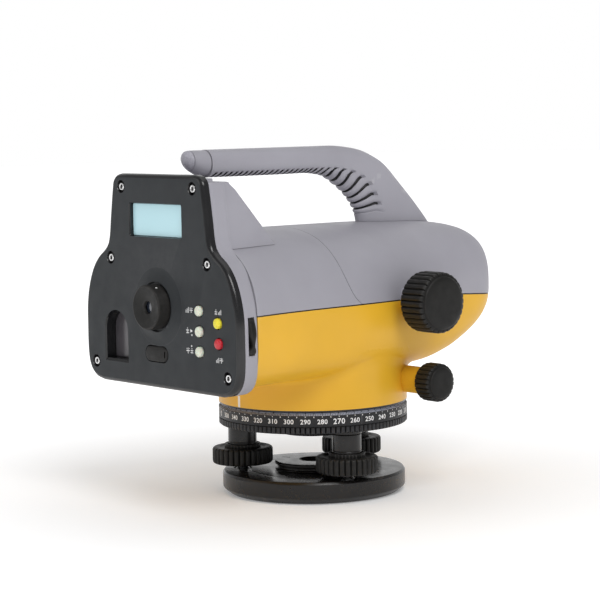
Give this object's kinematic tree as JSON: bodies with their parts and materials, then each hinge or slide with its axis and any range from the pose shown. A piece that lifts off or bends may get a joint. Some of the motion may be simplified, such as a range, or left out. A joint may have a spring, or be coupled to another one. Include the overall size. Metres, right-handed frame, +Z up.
{
  "type": "electronic surveying level",
  "caption": "Electronic levelling instrument with telescope, display and key panel, carry handle and graduated circle, on a three-screw levelling base for a tripod.",
  "frame": {"origin": "on the vertical rotation axis at the underside of the base plate, where the tripod screw enters", "axes": "+Z up along the vertical axis, +Y along the telescope towards the objective, +X to the user's right when looking through the eyepiece"},
  "size_m": [0.1578, 0.2353, 0.1968],
  "materials": {
    "black_enamel": "black enamel over cast metal, satin",
    "black_rubber": "moulded black rubber, ribbed",
    "panel_black": "fine-textured black moulding",
    "steel": "machined",
    "brass": "machined",
    "circle_black": "black anodised with white figures and ticks",
    "yellow": "amber yellow, satin",
    "grey": "light grey, fine texture",
    "aluminium": "machined",
    "glass": "clear",
    "display": "pale blue display behind a clear window",
    "button_white": "ivory, domed",
    "button_yellow": "yellow, domed",
    "button_red": "red, domed",
    "board": "green circuit board",
    "battery": "wrapped cells"
  },
  "bodies": {
    "base": {"base_plate": "black_enamel", "centre_bush": "black_enamel", "spring_plate": "steel"},
    "foot_1": {"foot_screw_1": "steel", "foot_knob_1": "black_rubber"},
    "foot_2": {"foot_screw_2": "steel", "foot_knob_2": "black_rubber"},
    "foot_3": {"foot_screw_3": "steel", "foot_knob_3": "black_rubber"},
    "tribrach": {"tribrach_body": "black_enamel", "foot_post_1": "black_enamel", "foot_post_2": "black_enamel", "foot_post_3": "black_enamel"},
    "circle": {"circle_ring": "circle_black"},
    "tangent_drive": {"tangent_shaft": "steel", "tangent_knob_right": "black_rubber", "tangent_knob_left": "black_rubber"},
    "focus_drive": {"focus_knob": "black_rubber", "focus_shaft": "steel"},
    "focus_lens": {"focus_lens_cell": "brass"},
    "dioptre": {"eyepiece_ring": "black_rubber", "eyepiece_lens": "glass"},
    "key_white_1": {"button_white_1": "button_white"},
    "key_white_2": {"button_white_2": "button_white"},
    "key_white_3": {"button_white_3": "button_white"},
    "key_yellow": {"button_yellow": "button_yellow"},
    "key_red": {"button_red": "button_red"},
    "battery_hatch": {"battery_door": "yellow"},
    "port_flap": {"port_cover": "black_rubber"},
    "reticle_cap": {"reticle_cover": "black_rubber"},
    "compensator": {"compensator_pendulum": "glass"},
    "housing": {"objective_bezel": "black_rubber", "axis_spindle": "steel", "panel_screw_1": "steel", "panel_screw_2": "steel", "panel_screw_3": "steel", "panel_screw_4": "steel", "panel_screw_5": "steel", "panel_screw_6": "steel", "lower_shell": "yellow", "upper_shell": "grey", "rear_frame": "grey", "handle_bar": "grey", "handle_grip": "grey", "handle_end_cap": "grey", "rear_panel": "panel_black", "eyepiece_collar": "panel_black", "bubble_window": "glass", "bubble_vial": "glass", "bubble_mirror": "glass", "objective_lens": "glass", "beam_splitter": "glass", "display_window": "display", "keypad_board": "board", "display_module": "board", "sensor_board": "board", "main_board": "board", "telescope_tube": "aluminium", "compensator_frame": "aluminium", "battery_pack": "battery"}
  },
  "joints": [
    {"name": "foot_screw_1_turn", "type": "hinge", "parent": "base", "child": "foot_1", "pos_m": [-0.02822, -0.02974, 0.0156], "axis": [0, 0, 1], "range_deg": [-1080, 1080]},
    {"name": "foot_screw_2_turn", "type": "hinge", "parent": "base", "child": "foot_2", "pos_m": [0.03987, -0.00957, 0.0156], "axis": [0, 0, 1], "range_deg": [-1080, 1080]},
    {"name": "foot_screw_3_turn", "type": "hinge", "parent": "base", "child": "foot_3", "pos_m": [-0.01165, 0.03931, 0.0156], "axis": [0, 0, 1], "range_deg": [-1080, 1080]},
    {"name": "levelling_tilt", "type": "hinge", "parent": "base", "child": "tribrach", "pos_m": [0, 0, 0.0205], "axis": [1, 0, 0], "range_deg": [-1, 1]},
    {"name": "circle_turn", "type": "hinge", "parent": "tribrach", "child": "circle", "pos_m": [0, 0, 0.0455], "axis": [0, 0, 1], "continuous": true},
    {"name": "housing_pan", "type": "hinge", "parent": "tribrach", "child": "housing", "pos_m": [0, 0, 0.0518], "axis": [0, 0, 1], "continuous": true},
    {"name": "tangent_turn", "type": "hinge", "parent": "housing", "child": "tangent_drive", "pos_m": [0, 0.032, 0.0646], "axis": [1, 0, 0], "continuous": true},
    {"name": "focus_turn", "type": "hinge", "parent": "housing", "child": "focus_drive", "pos_m": [0.0642, 0.026, 0.1103], "axis": [1, 0, 0], "range_deg": [-360, 360]},
    {"name": "focus_lens_slide", "type": "slide", "parent": "housing", "child": "focus_lens", "axis": [0, 1, 0], "range_m": [-0.0082, 0.0082]},
    {"name": "dioptre_turn", "type": "hinge", "parent": "housing", "child": "dioptre", "pos_m": [0, -0.115, 0.1133], "axis": [0, 1, 0], "range_deg": [-150, 150]},
    {"name": "key_white_1_press", "type": "slide", "parent": "housing", "child": "key_white_1", "axis": [0, 1, 0], "range_m": [0, 0.0012], "stiffness_N_per_m": 600},
    {"name": "key_white_2_press", "type": "slide", "parent": "housing", "child": "key_white_2", "axis": [0, 1, 0], "range_m": [0, 0.0012], "stiffness_N_per_m": 600},
    {"name": "key_white_3_press", "type": "slide", "parent": "housing", "child": "key_white_3", "axis": [0, 1, 0], "range_m": [0, 0.0012], "stiffness_N_per_m": 600},
    {"name": "key_yellow_press", "type": "slide", "parent": "housing", "child": "key_yellow", "axis": [0, 1, 0], "range_m": [0, 0.0012], "stiffness_N_per_m": 600},
    {"name": "key_red_press", "type": "slide", "parent": "housing", "child": "key_red", "axis": [0, 1, 0], "range_m": [0, 0.0012], "stiffness_N_per_m": 600},
    {"name": "battery_door_hinge", "type": "hinge", "parent": "housing", "child": "battery_hatch", "pos_m": [-0.0592, -0.032, 0.0812], "axis": [0, -1, 0], "range_deg": [0, 95]},
    {"name": "port_cover_hinge", "type": "hinge", "parent": "housing", "child": "port_flap", "pos_m": [0.07, -0.0984, 0.0915], "axis": [0, 1, 0], "range_deg": [0, 100]},
    {"name": "reticle_cover_pull", "type": "slide", "parent": "housing", "child": "reticle_cap", "axis": [0, -1, 0], "range_m": [0, 0.006]},
    {"name": "compensator_swing", "type": "hinge", "parent": "housing", "child": "compensator", "pos_m": [0, 0.001, 0.1233], "axis": [1, 0, 0], "range_deg": [-3, 3]}
  ],
  "couplings": [
    {"joint": "focus_lens_slide", "follows": "focus_turn", "m_per_rad": 0.0012732}
  ]
}
